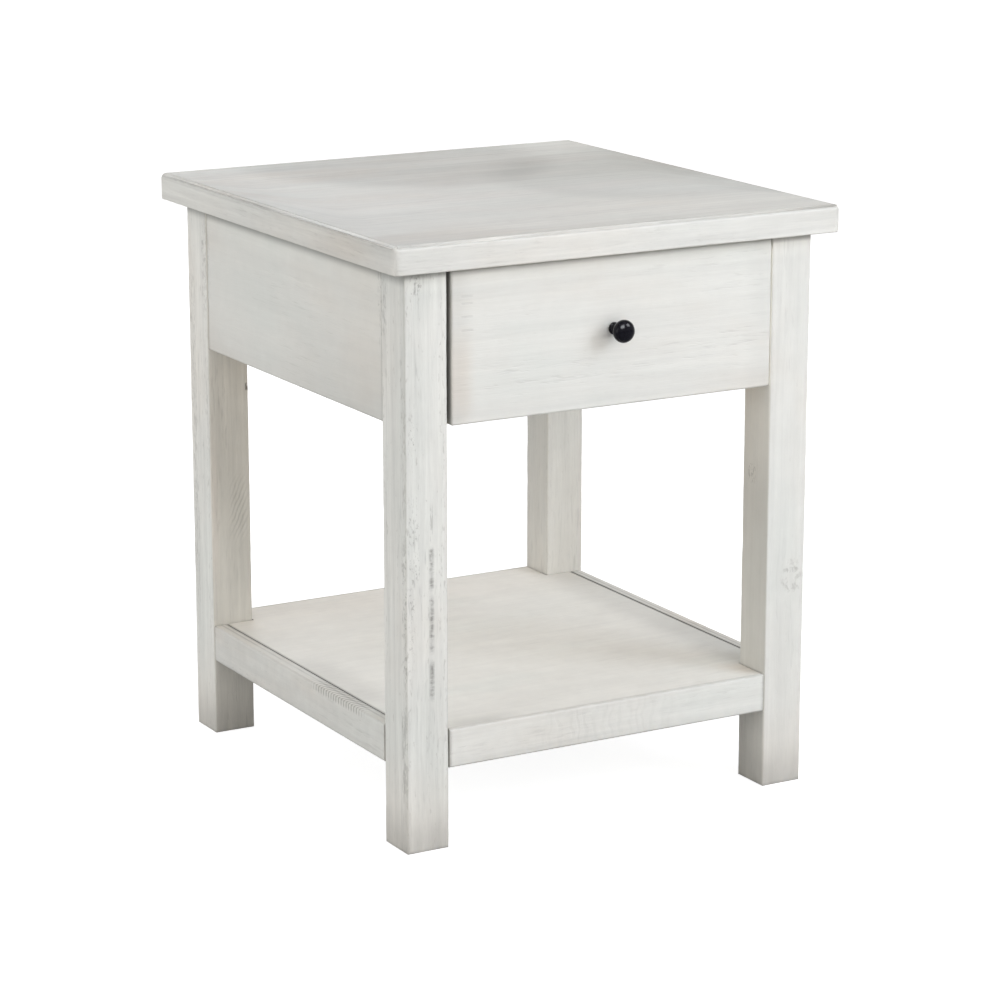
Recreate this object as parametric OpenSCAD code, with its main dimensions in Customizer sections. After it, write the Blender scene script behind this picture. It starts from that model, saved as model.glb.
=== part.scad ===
// Side table with one drawer and a low shelf.
// Millimetres, +Z up, feet on Z = 0, drawer opening towards -Y.
// The origin is at the bottom centre of the whole table, with the knob counted in its depth.

/* [Overall] */
// Width of the top, left to right
table_w = 510; // [480:1:560]
// Depth of the top, front to back
table_d = 535; // [510:1:600]
// Height of the table
table_h = 610; // [590:1:680]
// Thickness of the top slab
top_t = 28.5; // [24:0.5:32]
// How far the top overhangs the legs on every side
top_overhang = 22; // [16:1:28]

/* [Frame] */
// Side of the square legs
leg_w = 47; // [44:1:52]
// Thickness of the aprons and rails
board_t = 18; // [16:1:20]
// Height of the side and rear aprons
apron_h = 153.5; // [150:0.5:175]
// How far the aprons and side rails sit back from the faces of the legs
recess = 1; // [0.5:0.5:2]
// Depth of the slim rails behind the drawer front
front_rail_d = 24; // [22:1:24]

/* [Shelf] */
// Height of the upper face of the shelf
shelf_z = 122; // [110:1:200]
// Height of the shelf rails
shelf_rail_h = 40; // [36:1:50]
// Thickness of the shelf panel
shelf_t = 16; // [12:1:18]
// Strip of a side rail that shows beside the panel
side_lip = 13.5; // [12:0.5:14]
// Strip of the front and rear rails that shows beside the panel
front_lip = 4; // [3:0.5:5]

/* [Drawer] */
// Thickness of the drawer front
front_t = 20; // [18:1:20]
// Gap between the drawer front and the left leg
gap_left = 4; // [1:0.5:5]
// Gap between the drawer front and the right leg
gap_right = 0.5; // [0.5:0.5:5]
// Gap between the drawer front and the underside of the top
gap_top = 2.5; // [2:0.5:4]
// Thickness of the box's sides, back and inner front
box_t = 12; // [12:1:14]
// Height of the drawer box
box_h = 100; // [90:1:102]
// Length of the drawer box, front to back
box_len = 400; // [380:1:410]
// How far the drawer opens
travel = 280; // [200:5:280]

/* [Knob] */
// Diameter of the knob's head
knob_d = 23; // [20:0.5:32]
// Depth of the knob's rounded head
knob_head_t = 17; // [14:0.5:20]
// How far the knob stands out from the drawer front
knob_out = 27; // [26:0.5:32]
// How far the knob sits above the middle of the drawer front
knob_rise = 2; // [0:1:10]

/* [Hidden] */
$fn = 48;

// Colours of the finishes
paint = [0.89, 0.88, 0.85];
bare_pine = [0.84, 0.72, 0.54];
black_metal = [0.09, 0.09, 0.10];
zinc = [0.72, 0.73, 0.75];
steel = [0.62, 0.63, 0.65];
rubber = [0.15, 0.15, 0.16];

// Main planes. The knob stands proud of the top, so the frame sits back by half of that.
leg_x = table_w / 2 - top_overhang;              // outer faces of the legs
side_x = leg_x - leg_w;                          // inner faces of the legs
knob_proud = max(0, knob_out - top_overhang);
mid_y = knob_proud / 2;                          // middle of the top
front_y = mid_y - table_d / 2 + top_overhang;    // front faces of the legs
rear_y = mid_y + table_d / 2 - top_overhang;     // rear faces of the legs
under_top = table_h - top_t;
apron_z = under_top - apron_h;                   // lower edge of the aprons
apron_x = leg_x - recess;                        // outer face of a side apron
apron_in_x = apron_x - board_t;
apron_y = rear_y - recess;                       // outer face of the rear apron
apron_in_y = apron_y - board_t;
rail_recess = 0.5;
rail_y = front_y + rail_recess;                  // front face of the front shelf rail

// Edge roundings
leg_r = 2;
top_r = 5.5;
top_low_r = 2;
top_plan_r = 10;
front_r = 3.5;
front_end_r = 1.5;
rail_r = 2.5;
board_r = 1;
panel_r = 0.8;

// Fit round dowels and screws in their holes, and how far a cut runs past the face that it opens
fit = 0.05;
over = 1;

// Open joints of the shelf
side_rail_gap = 2;       // front ends of the side rails
front_rail_gap = 1.2;    // left end of the front rail
rail_play = 0.3;         // all other ends of the rails
panel_gap = 1.5;         // panel beside a side rail
panel_play = 0.3;        // panel behind the front rail
notch_play = 1;          // panel round a leg

// Dowels
dowel_d = 8;
dowel_l = 40;
apron_dowel_z = [apron_z + 25, apron_z + apron_h / 2, under_top - 25];
small_dowel_d = 6;
small_dowel_l = 36;
front_rail_y = front_y + front_t + 1.5;
small_dowel_y = [front_rail_y + 6, front_rail_y + front_rail_d - 6];
shelf_dowel_z = [shelf_z - shelf_rail_h + 6, shelf_z - shelf_t - 6];
rail_dowel_y = [rail_y + board_t / 2, rear_y - rail_recess - board_t / 2];

// Front rails
bottom_rail_z = apron_z + 3;

// Screws: shank diameter, length, head diameter, head height
wood_screw = [4, 30, 8, 2.6];
long_screw = [4, 40, 8, 2.6];
box_screw = [3.5, 30, 7, 2.2];
front_screw = [4, 26, 8, 2.6];
slide_screw = [3.2, 10, 6.4, 1.2];
counterbore_d = 9;

// Battens
cleat = 20;
cleat_len = 300;
cleat_screw_y = [mid_y - 110, mid_y, mid_y + 110];
top_screw_y = [mid_y - 60, mid_y + 60];
front_screw_x = [-120, 0, 120];
rear_screw_x = [-90, 90];
rear_cleat_screw_x = [-60, 120];
spacer_h = 40;
spacer_screw_y = [mid_y - 150, mid_y + 10, mid_y + 150];
spacer_screw_up = 8;                             // above the middle of the slide

// Shelf screws, sunk into the rails from below and set towards the middle of the table
shelf_screw_in = 2.5;
shelf_screw_y = [rail_dowel_y[0] + shelf_screw_in, rail_dowel_y[1] - shelf_screw_in];
shelf_screw_z = shelf_z - shelf_t - 18;

// Corner blocks, measured from the inner corner of two aprons along each apron
block_z = apron_z + 5;
block_h = 40;
block_near = 55;
block_far = 83;
bolt_d = 6;
bolt_l = 62;
nut_af = 10;
nut_t = 5;
washer_d = 16;
washer_t = 1.2;
bolt_in_leg = 28;

// Drawer box
slide_t = 12.7;
box_x = side_x - slide_t;                        // outer face of a drawer side
box_z = apron_z + 28;
box_y = front_y + front_t;
box_rear_y = box_y + box_len;
bottom_t = 5;
bottom_up = 8;
groove_deep = 6;
groove_h = bottom_t + 0.2;
bottom_play = 0.5;
drawer_front_screw_x = [-110, 110];
drawer_front_screw_z = [box_z + 25, box_z + box_h - 20];
box_screw_y = [box_y + box_t / 2, box_rear_y - box_t / 2];
box_screw_z = [box_z + 24, box_z + box_h - 18];
front_z = apron_z - 1;
front_w = 2 * side_x - gap_left - gap_right;
front_mid_x = (gap_left - gap_right) / 2;
front_h = under_top - gap_top - front_z;
knob_z = front_z + front_h / 2 + knob_rise;
knob_foot_d = 12.5;
knob_foot_t = 2.5;
knob_screw_d = 4;
knob_screw_grip = 9;

// Slides: a cabinet member outside, a drawer member inside, and balls in a cage between them
slide_z = box_z + box_h / 2;
slide_y = front_y + front_t + 4.5;
slide_len = 400;
inner_y = front_y + front_t + 2;
inner_len = box_rear_y - inner_y;
outer_half = 17.5;
inner_half = 11;
sheet = 1.2;
outer_reach = 11.5;
inner_start = 3;
ball_r = 2.3;
ball_x = 7.25;
ball_z = (inner_half + outer_half - sheet) / 2;
ball_step = 22;
ball_count = 5;
cage_len = 100;
cage_y = slide_y + 8 + travel / 2;
cage_t = 0.8;
cage_x = 1.7;
cage_reach = 10.6;
slide_lip = 1.3;
bumper_w = 8;
bumper_h = 16;
bumper_play = 0.5;
slide_screw_y = [slide_y + 30, slide_y + 200, slide_y + 370];
drawer_screw_y = [inner_y + 20, inner_y + 180, inner_y + 340];

// ---- Shared shapes ----

// Rectangle from the origin with rounded corners: r_low at its lower corners, r_high at its upper ones
module soft_rect(w, h, r_low, r_high) {
    translate([0, r_low]) square([w, h - r_low - r_high]);
    translate([r_low, 0]) square([w - 2 * r_low, h - r_high]);
    translate([r_high, r_low]) square([w - 2 * r_high, h - r_low]);
    for (x = [r_low, w - r_low]) translate([x, r_low]) circle(r = r_low);
    for (x = [r_high, w - r_high]) translate([x, h - r_high]) circle(r = r_high);
}

// Board of size [x, y, z] from the origin: corners in plan, lower edges and upper edges rounded
module soft_board(size, r_plan, r_low, r_high) {
    intersection() {
        linear_extrude(size[2]) soft_rect(size[0], size[1], r_plan, r_plan);
        translate([0, size[1], 0]) rotate([90, 0, 0])
            linear_extrude(size[1]) soft_rect(size[0], size[2], r_low, r_high);
        rotate([90, 0, 90]) linear_extrude(size[0]) soft_rect(size[1], size[2], r_low, r_high);
    }
}

// Board with only its long edges rounded, long along X
module x_board(size, r) {
    rotate([90, 0, 90]) linear_extrude(size[0]) soft_rect(size[1], size[2], r, r);
}

// Board with only its long edges rounded, long along Y
module y_board(size, r) {
    translate([0, size[1], 0]) rotate([90, 0, 0])
        linear_extrude(size[1]) soft_rect(size[0], size[2], r, r);
}

// Countersunk screw or its hole, head at the origin and shank along +Z, made larger all round by grow
module screw(kind, grow = 0) {
    cylinder(h = kind[1] + grow, d = kind[0] + 2 * grow);
    cylinder(h = kind[3], d1 = kind[2] + 2 * grow, d2 = kind[0] + 2 * grow);
}

// Dowel or its hole, centred at the origin and along Z
module dowel(d, l, grow = 0) {
    cylinder(h = l + 2 * grow, d = d + 2 * grow, center = true);
}

// The child on both sides of the table
module both_sides() {
    for (s = [0, 1]) mirror([s, 0, 0]) children();
}

// ---- Places of the dowels and fasteners, each used by the pieces and by their holes ----

module apron_dowel_set(grow = 0) {
    for (z = apron_dowel_z) {
        for (y = [front_y + leg_w, rear_y - leg_w]) both_sides()
            translate([apron_x - board_t / 2, y, z]) rotate([90, 0, 0]) dowel(dowel_d, dowel_l, grow);
        both_sides() translate([side_x, apron_y - board_t / 2, z]) rotate([0, 90, 0])
            dowel(dowel_d, dowel_l, grow);
    }
}

module rail_dowel_set(grow = 0) {
    for (z = [under_top - board_t / 2, bottom_rail_z + board_t / 2], y = small_dowel_y) both_sides()
        translate([side_x, y, z]) rotate([0, 90, 0]) dowel(small_dowel_d, small_dowel_l, grow);
}

module shelf_dowel_set(grow = 0) {
    for (z = shelf_dowel_z) both_sides() {
        for (y = [front_y + leg_w, rear_y - leg_w])
            translate([apron_x - board_t / 2, y, z]) rotate([90, 0, 0]) dowel(dowel_d, dowel_l, grow);
        for (y = rail_dowel_y)
            translate([side_x, y, z]) rotate([0, 90, 0]) dowel(dowel_d, dowel_l, grow);
    }
}

module top_screw_set(grow = 0) {
    both_sides() for (y = top_screw_y)
        translate([apron_in_x - cleat / 2, y, under_top - cleat]) screw(wood_screw, grow);
    for (x = rear_screw_x)
        translate([x, apron_in_y - cleat / 2, under_top - cleat]) screw(wood_screw, grow);
    for (x = front_screw_x)
        translate([x, front_rail_y + front_rail_d / 2, under_top - board_t]) screw(wood_screw, grow);
}

module cleat_screw_set(grow = 0) {
    both_sides() for (y = cleat_screw_y)
        translate([apron_in_x - cleat, y, under_top - cleat / 2]) rotate([0, 90, 0])
            screw(wood_screw, grow);
    for (x = rear_cleat_screw_x)
        translate([x, apron_in_y - cleat, under_top - cleat / 2]) rotate([-90, 0, 0])
            screw(wood_screw, grow);
}

module spacer_screw_set(grow = 0) {
    both_sides() for (y = spacer_screw_y)
        translate([side_x, y, slide_z + spacer_screw_up]) rotate([0, 90, 0]) screw(long_screw, grow);
}

module shelf_screw_set(grow = 0) {
    for (y = shelf_screw_y, x = front_screw_x) translate([x, y, shelf_screw_z]) screw(wood_screw, grow);
}

// A corner bolt's own axis starts at the leg's inner corner and runs along +Z, away from the leg
module at_corner_bolt() {
    both_sides() translate([-side_x, rear_y - leg_w, block_z + block_h / 2])
        rotate([0, 0, -45]) rotate([0, 90, 0]) children();
}

module corner_bolt_set(grow = 0) {
    at_corner_bolt() translate([0, 0, -bolt_in_leg - grow])
        cylinder(h = bolt_l + 2 * grow, d = bolt_d + 2 * grow);
}

module drawer_front_screw_set(grow = 0) {
    for (x = drawer_front_screw_x, z = drawer_front_screw_z)
        translate([x, box_y + box_t, z]) rotate([90, 0, 0]) screw(front_screw, grow);
}

module drawer_box_screw_set(grow = 0) {
    for (z = box_screw_z, y = box_screw_y)
        both_sides() translate([box_x, y, z]) rotate([0, -90, 0]) screw(box_screw, grow);
}

module slide_frame_screw_set(grow = 0) {
    both_sides() for (y = slide_screw_y)
        translate([side_x - sheet, y, slide_z]) rotate([0, 90, 0]) screw(slide_screw, grow);
}

module slide_drawer_screw_set(grow = 0) {
    both_sides() for (y = drawer_screw_y)
        translate([box_x + sheet, y, slide_z]) rotate([0, -90, 0]) screw(slide_screw, grow);
}

// ---- Frame ----

module top_panel() {
    color(paint) difference() {
        translate([-table_w / 2, mid_y - table_d / 2, under_top])
            soft_board([table_w, table_d, top_t], top_plan_r, top_low_r, top_r);
        top_screw_set(fit);
    }
}

// Leg with its outer corner at [x, y]; sx and sy point from that corner into the table
module leg(sx, sy) {
    x = sx > 0 ? -leg_x : leg_x - leg_w;
    y = sy > 0 ? front_y : rear_y - leg_w;
    color(paint) difference() {
        translate([x, y, 0]) linear_extrude(under_top) soft_rect(leg_w, leg_w, leg_r, leg_r);
        apron_dowel_set(fit);
        shelf_dowel_set(fit);
        if (sy > 0) rail_dowel_set(fit);
        if (sy < 0) corner_bolt_set(fit);
    }
}

module leg_front_left() leg(1, 1);
module leg_front_right() leg(-1, 1);
module leg_rear_left() leg(1, -1);
module leg_rear_right() leg(-1, -1);

// Side apron, drawn on the right
module side_apron() {
    color(paint) difference() {
        translate([apron_in_x, front_y + leg_w, apron_z])
            y_board([board_t, rear_y - front_y - 2 * leg_w, apron_h], board_r);
        apron_dowel_set(fit);
        cleat_screw_set(fit);
        spacer_screw_set(fit);
    }
}

module apron_right() side_apron();
module apron_left() mirror([1, 0, 0]) side_apron();

module apron_rear() {
    color(paint) difference() {
        translate([-side_x, apron_in_y, apron_z]) x_board([2 * side_x, board_t, apron_h], board_r);
        apron_dowel_set(fit);
        cleat_screw_set(fit);
    }
}

module front_rail(z) {
    translate([-side_x, front_rail_y, z]) x_board([2 * side_x, front_rail_d, board_t], board_r);
}

module front_top_rail() {
    color(bare_pine) difference() {
        front_rail(under_top - board_t);
        rail_dowel_set(fit);
        top_screw_set(fit);
    }
}

module front_bottom_rail() {
    color(bare_pine) difference() {
        front_rail(bottom_rail_z);
        rail_dowel_set(fit);
    }
}

module side_cleat() {
    color(bare_pine) difference() {
        translate([apron_in_x - cleat, mid_y - cleat_len / 2, under_top - cleat])
            y_board([cleat, cleat_len, cleat], board_r);
        top_screw_set(fit);
        cleat_screw_set(fit);
    }
}

module top_cleat_right() side_cleat();
module top_cleat_left() mirror([1, 0, 0]) side_cleat();

module top_cleat_rear() {
    color(bare_pine) difference() {
        translate([-cleat_len / 2, apron_in_y - cleat, under_top - cleat])
            x_board([cleat_len, cleat, cleat], board_r);
        top_screw_set(fit);
        cleat_screw_set(fit);
    }
}

module slide_spacer() {
    color(bare_pine) difference() {
        translate([side_x, front_y + leg_w, slide_z - spacer_h / 2])
            y_board([apron_in_x - side_x, rear_y - front_y - 2 * leg_w, spacer_h], board_r);
        spacer_screw_set(fit);
        slide_frame_screw_set(fit);
    }
}

module slide_spacer_right() slide_spacer();
module slide_spacer_left() mirror([1, 0, 0]) slide_spacer();

module corner_block() {
    color(bare_pine) difference() {
        translate([-apron_in_x, apron_in_y, block_z]) linear_extrude(block_h)
            polygon([[0, -block_near], [0, -block_far], [block_far, 0], [block_near, 0]]);
        corner_bolt_set(fit);
    }
}

module corner_block_left() corner_block();
module corner_block_right() mirror([1, 0, 0]) corner_block();

// ---- Shelf ----

module shelf_panel() {
    w = 2 * (apron_x - side_lip - panel_gap);
    y0 = rail_y + front_lip + panel_play;
    d = 2 * (mid_y - y0);
    notch_x = side_x - notch_play;
    notch_y = front_y + leg_w + notch_play;
    color(paint) difference() {
        translate([-w / 2, y0, shelf_z - shelf_t]) soft_board([w, d, shelf_t], panel_r, panel_r, panel_r);
        for (sx = [-1, 1], sy = [-1, 1])
            translate([sx * (notch_x + table_w / 2), mid_y + sy * (mid_y - notch_y + table_d / 2), shelf_z])
                cube([table_w, table_d, 3 * shelf_t], center = true);
        shelf_screw_set(fit);
    }
}

// Shelf rail along X, drawn at the front, from x0 to x1; its rebate carries the panel
module cross_rail(x0, x1) {
    difference() {
        translate([x0, rail_y, shelf_z - shelf_rail_h]) x_board([x1 - x0, board_t, shelf_rail_h], rail_r);
        translate([x0 - over, rail_y + front_lip, shelf_z - shelf_t])
            cube([x1 - x0 + 2 * over, board_t, shelf_t + over]);
    }
}

module shelf_rail_front() {
    color(paint) difference() {
        cross_rail(-side_x + front_rail_gap, side_x - rail_play);
        shelf_holes();
    }
}

module shelf_rail_rear() {
    color(paint) difference() {
        translate([0, 2 * mid_y, 0]) mirror([0, 1, 0]) cross_rail(-side_x + rail_play, side_x - rail_play);
        shelf_holes();
    }
}

module shelf_holes() {
    shelf_dowel_set(fit);
    shelf_screw_set(fit);
    rail_low = shelf_z - shelf_rail_h - over;
    for (y = shelf_screw_y, x = front_screw_x) translate([x, y, rail_low])
        cylinder(h = shelf_screw_z - rail_low, d = counterbore_d);
}

// Shelf rail along Y, drawn on the right
module side_rail() {
    y0 = front_y + leg_w + side_rail_gap;
    len = rear_y - leg_w - rail_play - y0;
    color(paint) difference() {
        translate([apron_in_x, y0, shelf_z - shelf_rail_h]) y_board([board_t, len, shelf_rail_h], rail_r);
        translate([apron_x - side_lip - board_t, front_y, shelf_z - shelf_t])
            cube([board_t, table_d, shelf_t + over]);
        shelf_dowel_set(fit);
    }
}

module shelf_rail_right() side_rail();
module shelf_rail_left() mirror([1, 0, 0]) side_rail();

// ---- Drawer ----

module drawer_front() {
    color(paint) difference() {
        translate([front_mid_x - front_w / 2, front_y, front_z]) intersection() {
            rotate([90, 0, 90]) linear_extrude(front_w) soft_rect(front_t, front_h, front_r, front_r);
            linear_extrude(front_h) soft_rect(front_w, front_t, front_end_r, board_r);
        }
        drawer_front_screw_set(fit);
        knob_hole();
    }
}

module knob_hole() {
    translate([0, box_y + box_t + over, knob_z]) rotate([90, 0, 0])
        cylinder(h = front_t + box_t + 2 * over, d = knob_screw_d + 2 * fit);
}

module drawer_box_front() {
    color(bare_pine) difference() {
        box_end(box_y);
        drawer_front_screw_set(fit);
        knob_hole();
    }
}

// Board across the box with its groove for the bottom
module box_end(y) {
    w = 2 * (box_x - box_t);
    groove_y = y < mid_y ? y + box_t - groove_deep : y - over;
    difference() {
        translate([-w / 2, y, box_z]) cube([w, box_t, box_h]);
        translate([-w / 2 - over, groove_y, box_z + bottom_up])
            cube([w + 2 * over, groove_deep + over, groove_h]);
        drawer_box_screw_set(fit);
    }
}

module drawer_back() {
    color(bare_pine) box_end(box_rear_y - box_t);
}

module drawer_side() {
    color(bare_pine) difference() {
        translate([box_x - box_t, box_y, box_z]) y_board([box_t, box_len, box_h], board_r);
        translate([box_x - box_t - over, box_y + box_t - groove_deep, box_z + bottom_up])
            cube([groove_deep + over, box_len - 2 * (box_t - groove_deep), groove_h]);
        drawer_box_screw_set(fit);
        slide_drawer_screw_set(fit);
    }
}

module drawer_side_right() drawer_side();
module drawer_side_left() mirror([1, 0, 0]) drawer_side();

module drawer_bottom() {
    w = 2 * (box_x - box_t + groove_deep - bottom_play);
    y0 = box_y + box_t - groove_deep + bottom_play;
    d = box_len - 2 * (box_t - groove_deep + bottom_play);
    color(bare_pine) translate([-w / 2, y0, box_z + bottom_up]) cube([w, d, bottom_t]);
}

// Mushroom knob turned about its own axis, which starts at the drawer front
module knob() {
    head_r = knob_d / 2;
    head_mid = knob_out - knob_head_t / 2;
    foot_r = knob_foot_d / 2;
    waist_r = foot_r - 2;
    waist_start = 6;
    waist_end = head_mid - 7;
    collar_r = waist_r + 2.5;
    collar_z = head_mid - 2;
    color(black_metal) translate([0, front_y, knob_z]) rotate([90, 0, 0]) difference() {
        rotate_extrude() intersection() {
            union() {
                translate([0, head_mid]) ellipse(head_r, knob_head_t / 2);
                square([foot_r, knob_foot_t]);
                polygon([[0, 0], [foot_r - 0.5, knob_foot_t], [waist_r, waist_start], [waist_r, waist_end],
                         [collar_r, collar_z], [0, head_mid]]);
            }
            square([head_r + over, knob_out]);
        }
        translate([0, 0, -over]) cylinder(h = knob_screw_grip + over + fit, d = knob_screw_d + 2 * fit);
    }
}

// Flattened circle, drawn as a polygon that follows an ellipse
module ellipse(rx, ry) {
    steps = 48;
    polygon([for (i = [0 : steps - 1]) [rx * cos(360 * i / steps), ry * sin(360 * i / steps)]]);
}

module knob_screw() {
    head_d = 9;
    head_t = 2.4;
    l = front_t + box_t + knob_screw_grip;
    color(zinc) translate([0, box_y + box_t, knob_z]) rotate([90, 0, 0]) {
        cylinder(h = l, d = knob_screw_d);
        translate([0, 0, -head_t]) cylinder(h = head_t, d = head_d);
    }
}

// ---- Slides, drawn on the right; x runs from the frame towards the drawer ----

module slide_place() {
    translate([side_x, 0, slide_z]) mirror([1, 0, 0]) children();
}

// Channel section extruded along Y from y0
module channel(y0, len) {
    translate([0, y0 + len, 0]) rotate([90, 0, 0]) linear_extrude(len) children();
}

module slide_outer() {
    color(zinc) difference() {
        slide_place() channel(slide_y, slide_len) {
            translate([0, -outer_half]) square([sheet, 2 * outer_half]);
            for (m = [0, 1]) mirror([0, m]) {
                translate([0, outer_half - sheet]) square([outer_reach, sheet]);
                translate([outer_reach - sheet, outer_half - sheet - slide_lip])
                    square([sheet, slide_lip + fit]);
            }
        }
        slide_frame_screw_set(fit);
    }
}

module slide_inner() {
    color(zinc) difference() {
        slide_place() channel(inner_y, inner_len) {
            translate([slide_t - sheet, -inner_half]) square([sheet, 2 * inner_half]);
            for (m = [0, 1]) mirror([0, m]) {
                translate([inner_start, inner_half - sheet]) square([slide_t - inner_start, sheet]);
                translate([inner_start, inner_half - fit]) square([sheet, slide_lip + fit]);
            }
        }
        slide_drawer_screw_set(fit);
    }
}

module ball_cage() {
    color(steel) slide_place() difference() {
        channel(cage_y, cage_len) {
            translate([cage_x, -ball_z - cage_t / 2]) square([cage_t, 2 * ball_z + cage_t]);
            for (s = [-1, 1]) translate([cage_x, s * ball_z - cage_t / 2])
                square([cage_reach - cage_x, cage_t]);
        }
        ball_places() cylinder(h = 4 * cage_t, r = ball_r + fit, center = true);
    }
}

module ball_places() {
    first_y = cage_y + (cage_len - (ball_count - 1) * ball_step) / 2;
    for (i = [0 : ball_count - 1], s = [-1, 1])
        translate([ball_x, first_y + i * ball_step, s * ball_z]) children();
}

module slide_balls() {
    color(steel) slide_place() ball_places() sphere(r = ball_r);
}

module slide_outer_right() slide_outer();
module slide_outer_left() mirror([1, 0, 0]) slide_outer();
module slide_inner_right() slide_inner();
module slide_inner_left() mirror([1, 0, 0]) slide_inner();
module ball_cage_right() ball_cage();
module ball_cage_left() mirror([1, 0, 0]) ball_cage();
module slide_balls_right() slide_balls();
module slide_balls_left() mirror([1, 0, 0]) slide_balls();

module slide_bumpers() {
    len = slide_y + slide_len - box_rear_y - bumper_play;
    color(rubber) both_sides() slide_place()
        translate([sheet, box_rear_y + bumper_play, -bumper_h / 2]) cube([bumper_w, len, bumper_h]);
}

// ---- Fasteners ----

module top_screws() color(zinc) top_screw_set();
module cleat_screws() color(zinc) cleat_screw_set();
module spacer_screws() color(zinc) spacer_screw_set();
module shelf_screws() color(zinc) shelf_screw_set();
module slide_frame_screws() color(zinc) slide_frame_screw_set();
module slide_drawer_screws() color(zinc) slide_drawer_screw_set();
module drawer_front_screws() color(zinc) drawer_front_screw_set();
module drawer_box_screws() color(zinc) drawer_box_screw_set();
module corner_bolts() color(zinc) corner_bolt_set();

// Washer and hexagon nut on each corner bolt, tight on the inner face of its block
module corner_nuts() {
    corner_to_face = (block_far - 2 * (apron_in_x - side_x)) / sqrt(2);
    color(zinc) at_corner_bolt() translate([0, 0, corner_to_face]) difference() {
        union() {
            cylinder(h = washer_t, d = washer_d);
            translate([0, 0, washer_t]) cylinder(h = nut_t, d = nut_af / cos(30), $fn = 6);
        }
        translate([0, 0, -over]) cylinder(h = washer_t + nut_t + 2 * over, d = bolt_d + 2 * fit);
    }
}

module apron_dowels() color(bare_pine) apron_dowel_set();
module rail_dowels() color(bare_pine) rail_dowel_set();
module shelf_dowels() color(bare_pine) shelf_dowel_set();

top_panel();
leg_front_left();
leg_front_right();
leg_rear_left();
leg_rear_right();
apron_left();
apron_right();
apron_rear();
front_top_rail();
front_bottom_rail();
top_cleat_left();
top_cleat_right();
top_cleat_rear();
slide_spacer_left();
slide_spacer_right();
corner_block_left();
corner_block_right();
shelf_panel();
shelf_rail_front();
shelf_rail_rear();
shelf_rail_left();
shelf_rail_right();
drawer_front();
drawer_box_front();
drawer_side_left();
drawer_side_right();
drawer_back();
drawer_bottom();
knob();
knob_screw();
slide_outer_left();
slide_outer_right();
slide_inner_left();
slide_inner_right();
ball_cage_left();
ball_cage_right();
slide_balls_left();
slide_balls_right();
slide_bumpers();
top_screws();
cleat_screws();
spacer_screws();
corner_bolts();
corner_nuts();
shelf_screws();
slide_frame_screws();
slide_drawer_screws();
drawer_front_screws();
drawer_box_screws();
apron_dowels();
rail_dowels();
shelf_dowels();
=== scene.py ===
"""Looks of the side table: painted boards with a brushed, worn whitewash, bare wood and metal inside.

Metres, +Z up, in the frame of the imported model. The drawer opens towards -Y.
"""

import math
from itertools import product

import bpy
import numpy as np
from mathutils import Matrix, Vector


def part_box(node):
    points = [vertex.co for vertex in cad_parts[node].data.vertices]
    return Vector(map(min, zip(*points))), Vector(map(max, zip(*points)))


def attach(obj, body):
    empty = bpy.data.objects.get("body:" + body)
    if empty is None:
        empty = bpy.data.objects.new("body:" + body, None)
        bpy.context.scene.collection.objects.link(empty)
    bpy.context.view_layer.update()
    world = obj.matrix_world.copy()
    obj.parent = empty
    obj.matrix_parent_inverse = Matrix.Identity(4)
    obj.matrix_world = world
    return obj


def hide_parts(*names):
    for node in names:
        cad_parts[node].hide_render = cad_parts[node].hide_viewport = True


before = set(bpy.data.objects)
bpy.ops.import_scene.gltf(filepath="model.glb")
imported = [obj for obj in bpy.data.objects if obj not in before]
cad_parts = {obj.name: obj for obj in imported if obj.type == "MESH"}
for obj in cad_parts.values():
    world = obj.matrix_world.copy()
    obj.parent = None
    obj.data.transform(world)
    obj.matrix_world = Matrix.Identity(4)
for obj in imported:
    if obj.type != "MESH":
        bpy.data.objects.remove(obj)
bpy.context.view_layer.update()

X, Y, Z = 0, 1, 2
MM = 0.001

# ---- Studio: camera, lights and floor ----

CAMERA_PLACE = Vector((-1.709, -3.0185, 1.155))
CAMERA_AZIMUTH = -29.66
CAMERA_ELEVATION = 14.19
CAMERA_LENS = 121.9
TABLE_MIDDLE = Vector((0, 0, 0.3))
# Name, azimuth, elevation, distance, width, height, brightness, colour, and the rays that don't see it
SOFTBOXES = [
    ("key_softbox", 40, 27, 3.2, 1.3, 1.3, 5.78, (0.80, 0.89, 1.0), "glossy"),
    ("front_softbox", 12, 12, 3.0, 2.6, 2.2, 1.51, (1.0, 0.97, 0.935), "glossy"),
    ("left_softbox", -85, 12, 3.0, 2.4, 2.2, 1.53, (0.965, 1.0, 0.995), ""),
    ("rear_softbox", 180, 20, 3.0, 2.4, 2.0, 1.62, (0.89, 0.95, 1.0), ""),
    ("knob_highlight", -15, 42, 2.9, 1.4, 1.3, 19.0, (0.95, 0.97, 1.0), "diffuse"),
    ("knob_second_highlight", 45, 40, 2.9, 1.1, 1.0, 12.0, (0.95, 0.97, 1.0), "diffuse"),
]
ROOM_COLOUR = (1.0, 0.962, 0.95, 1)
ROOM_LIGHT = 0.634
FLOOR_TONE = 0.45
FLOOR_GLOW = 0.85
FLOOR_HALF = 40


def direction(azimuth, elevation):
    """Unit vector from the table towards an azimuth, 0 in front and 90 on the right, and elevation."""
    a, e = math.radians(azimuth), math.radians(elevation)
    return Vector((math.sin(a) * math.cos(e), -math.cos(a) * math.cos(e), math.sin(e)))


def add_camera():
    camera = bpy.data.objects.new("camera", bpy.data.cameras.new("camera"))
    camera.data.lens = CAMERA_LENS
    camera.location = CAMERA_PLACE
    back = direction(CAMERA_AZIMUTH, CAMERA_ELEVATION)
    camera.rotation_euler = back.to_track_quat("Z", "Y").to_euler()
    bpy.context.scene.collection.objects.link(camera)
    bpy.context.scene.camera = camera


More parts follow.
